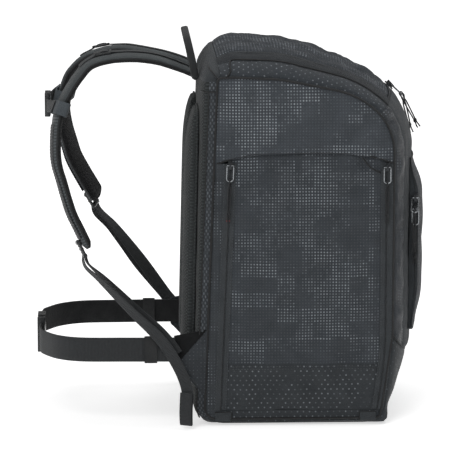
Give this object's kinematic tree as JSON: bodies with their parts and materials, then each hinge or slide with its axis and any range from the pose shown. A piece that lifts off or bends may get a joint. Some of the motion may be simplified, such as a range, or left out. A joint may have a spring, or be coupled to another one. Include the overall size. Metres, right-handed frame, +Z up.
{
  "type": "ski boot backpack",
  "caption": "Upright ski boot backpack with a zipped top lid, fold-down side boot doors, a front pocket, padded back, shoulder harness and hip belt.",
  "frame": {"origin": "middle of the base, on the plane that the bag stands on", "axes": "+X towards the front pocket, -X towards the shoulder harness, -Y the wearer's left, +Z up"},
  "size_m": [0.6141, 0.3589, 0.6057],
  "materials": {
    "print_fabric": "coated woven polyester, charcoal with a light printed dot pattern",
    "plain_fabric": "plain dark woven polyester",
    "air_mesh": "spacer mesh over foam",
    "webbing": "woven polyester webbing",
    "buckle_plastic": "moulded acetal",
    "base_plastic": "coated base sheet",
    "frame_plastic": "polyethylene sheet",
    "stay_alloy": "bare alloy bar",
    "zip_metal": "plated zinc and wire",
    "zip_coil": "nylon coil zip"
  },
  "bodies": {
    "bag": {"back_panel": "print_fabric", "frame_sheet": "frame_plastic", "frame_stays": "stay_alloy", "base_panel": "base_plastic", "base_board": "plain_fabric", "base_wrap": "plain_fabric", "front_panel": "print_fabric", "top_yoke": "print_fabric", "top_strip_left": "print_fabric", "top_strip_right": "print_fabric", "side_panel_left": "print_fabric", "side_panel_right": "print_fabric", "boot_liner_left": "plain_fabric", "boot_liner_right": "plain_fabric", "back_pad_left": "air_mesh", "back_pad_right": "air_mesh", "pocket_gusset": "print_fabric", "corner_tabs": "webbing", "belt_wings": "print_fabric", "lower_webbing_left": "webbing", "lower_webbing_right": "webbing", "webbing_tail_left": "webbing", "webbing_tail_right": "webbing", "door_zips": "zip_coil", "lid_zip": "zip_coil", "pocket_zip": "zip_coil"},
    "lid": {"lid_panel": "print_fabric"},
    "door_left": {"boot_door_left": "print_fabric"},
    "door_right": {"boot_door_right": "print_fabric"},
    "pocket_face": {"pocket_flap": "print_fabric"},
    "lid_slider_left": {"lid_slider_left": "zip_metal"},
    "lid_pull_left": {"lid_pull_left": "zip_metal"},
    "lid_slider_right": {"lid_slider_right": "zip_metal"},
    "lid_pull_right": {"lid_pull_right": "zip_metal"},
    "left_rear_slider": {"left_rear_slider": "zip_metal"},
    "left_rear_pull": {"left_rear_pull": "zip_metal"},
    "left_front_slider": {"left_front_slider": "zip_metal"},
    "left_front_pull": {"left_front_pull": "zip_metal"},
    "right_rear_slider": {"right_rear_slider": "zip_metal"},
    "right_rear_pull": {"right_rear_pull": "zip_metal"},
    "right_front_slider": {"right_front_slider": "zip_metal"},
    "right_front_pull": {"right_front_pull": "zip_metal"},
    "pocket_upper_slider": {"pocket_upper_slider": "zip_metal"},
    "pocket_upper_pull": {"pocket_upper_pull": "zip_metal"},
    "pocket_lower_slider": {"pocket_lower_slider": "zip_metal"},
    "pocket_lower_pull": {"pocket_lower_pull": "zip_metal"},
    "harness": {"shoulder_strap_left": "plain_fabric", "shoulder_strap_right": "plain_fabric", "load_lifter_webbing": "webbing", "load_lifter_buckles": "buckle_plastic", "ladder_locks": "buckle_plastic"},
    "sternum_strap": {"sternum_sleeves": "webbing", "sternum_webbing": "webbing", "sternum_socket": "buckle_plastic"},
    "sternum_plug": {"sternum_plug": "buckle_plastic"},
    "hip_belt": {"hip_webbing": "webbing", "hip_keepers": "webbing", "hip_socket": "buckle_plastic"},
    "hip_plug": {"hip_plug": "buckle_plastic"},
    "handle": {"grab_handle": "webbing"}
  },
  "joints": [
    {"name": "lid_hinge", "type": "hinge", "parent": "bag", "child": "lid", "pos_m": [-0.1146, 0, 0.58427], "axis": [0, -1, 0], "range_deg": [0, 95]},
    {"name": "door_left_hinge", "type": "hinge", "parent": "bag", "child": "door_left", "pos_m": [0, -0.162, 0.025], "axis": [1, 0, 0], "range_deg": [0, 80]},
    {"name": "door_right_hinge", "type": "hinge", "parent": "bag", "child": "door_right", "pos_m": [0, 0.162, 0.025], "axis": [-1, 0, 0], "range_deg": [0, 80]},
    {"name": "pocket_hinge", "type": "hinge", "parent": "bag", "child": "pocket_face", "pos_m": [0.2155, 0, 0.136], "axis": [0, 1, 0], "range_deg": [0, 60]},
    {"name": "lid_slider_left_run", "type": "slide", "parent": "lid", "child": "lid_slider_left", "axis": [0, -1, 0], "range_m": [0, 0.06]},
    {"name": "lid_pull_left_swing", "type": "hinge", "parent": "lid_slider_left", "child": "lid_pull_left", "pos_m": [0.1697, -0.013, 0.51733], "axis": [0, -1, 0], "range_deg": [0, 100]},
    {"name": "lid_slider_right_run", "type": "slide", "parent": "lid", "child": "lid_slider_right", "axis": [0, 1, 0], "range_m": [0, 0.06]},
    {"name": "lid_pull_right_swing", "type": "hinge", "parent": "lid_slider_right", "child": "lid_pull_right", "pos_m": [0.1697, 0.013, 0.51733], "axis": [0, -1, 0], "range_deg": [0, 100]},
    {"name": "left_rear_slider_run", "type": "slide", "parent": "door_left", "child": "left_rear_slider", "axis": [-0.04, 0, -0.9992], "range_m": [0, 0.36]},
    {"name": "left_rear_pull_swing", "type": "hinge", "parent": "left_rear_slider", "child": "left_rear_pull", "pos_m": [-0.0907, -0.1674, 0.4104], "axis": [-0.9992, 0, 0.04], "range_deg": [0, 110]},
    {"name": "left_front_slider_run", "type": "slide", "parent": "door_left", "child": "left_front_slider", "axis": [0, 0, -1], "range_m": [0, 0.25]},
    {"name": "left_front_pull_swing", "type": "hinge", "parent": "left_front_slider", "child": "left_front_pull", "pos_m": [0.151, -0.1674, 0.4064], "axis": [-1, 0, 0], "range_deg": [0, 110]},
    {"name": "right_rear_slider_run", "type": "slide", "parent": "door_right", "child": "right_rear_slider", "axis": [-0.04, 0, -0.9992], "range_m": [0, 0.36]},
    {"name": "right_rear_pull_swing", "type": "hinge", "parent": "right_rear_slider", "child": "right_rear_pull", "pos_m": [-0.0907, 0.1674, 0.4104], "axis": [0.9992, 0, -0.04], "range_deg": [0, 110]},
    {"name": "right_front_slider_run", "type": "slide", "parent": "door_right", "child": "right_front_slider", "axis": [0, 0, -1], "range_m": [0, 0.25]},
    {"name": "right_front_pull_swing", "type": "hinge", "parent": "right_front_slider", "child": "right_front_pull", "pos_m": [0.151, 0.1674, 0.4064], "axis": [1, 0, 0], "range_deg": [0, 110]},
    {"name": "pocket_upper_slider_run", "type": "slide", "parent": "pocket_face", "child": "pocket_upper_slider", "axis": [0, 0, 1], "range_m": [0, 0.045]},
    {"name": "pocket_upper_pull_swing", "type": "hinge", "parent": "pocket_upper_slider", "child": "pocket_upper_pull", "pos_m": [0.19955, -0.11758, 0.35116], "axis": [-0.9755, 0.22, 0], "range_deg": [0, 70]},
    {"name": "pocket_lower_slider_run", "type": "slide", "parent": "pocket_face", "child": "pocket_lower_slider", "axis": [0, 0, -1], "range_m": [0, 0.12]},
    {"name": "pocket_lower_pull_swing", "type": "hinge", "parent": "pocket_lower_slider", "child": "pocket_lower_pull", "pos_m": [0.19955, -0.11758, 0.33349], "axis": [-0.9755, 0.22, 0], "range_deg": [0, 8]},
    {"name": "harness_swing", "type": "hinge", "parent": "bag", "child": "harness", "pos_m": [-0.1438, 0, 0.541], "axis": [0, 1, 0], "range_deg": [-16, 10], "deforming": ["lower_webbing_left", "lower_webbing_right", "webbing_tail_left", "webbing_tail_right"]},
    {"name": "sternum_height", "type": "slide", "parent": "harness", "child": "sternum_strap", "axis": [-0.288, 0, -0.9576], "range_m": [-0.005, 0.005]},
    {"name": "sternum_release", "type": "slide", "parent": "sternum_strap", "child": "sternum_plug", "axis": [0, 1, 0], "range_m": [0, 0.018]},
    {"name": "hip_belt_swing", "type": "hinge", "parent": "bag", "child": "hip_belt", "pos_m": [-0.168, 0, 0.122], "axis": [0, 1, 0], "range_deg": [-14, 6]},
    {"name": "hip_release", "type": "slide", "parent": "hip_belt", "child": "hip_plug", "axis": [0, 1, 0], "range_m": [0, 0.034]},
    {"name": "handle_fold", "type": "hinge", "parent": "bag", "child": "handle", "pos_m": [-0.1428, 0, 0.541], "axis": [0, -1, 0], "range_deg": [0, 20]}
  ]
}
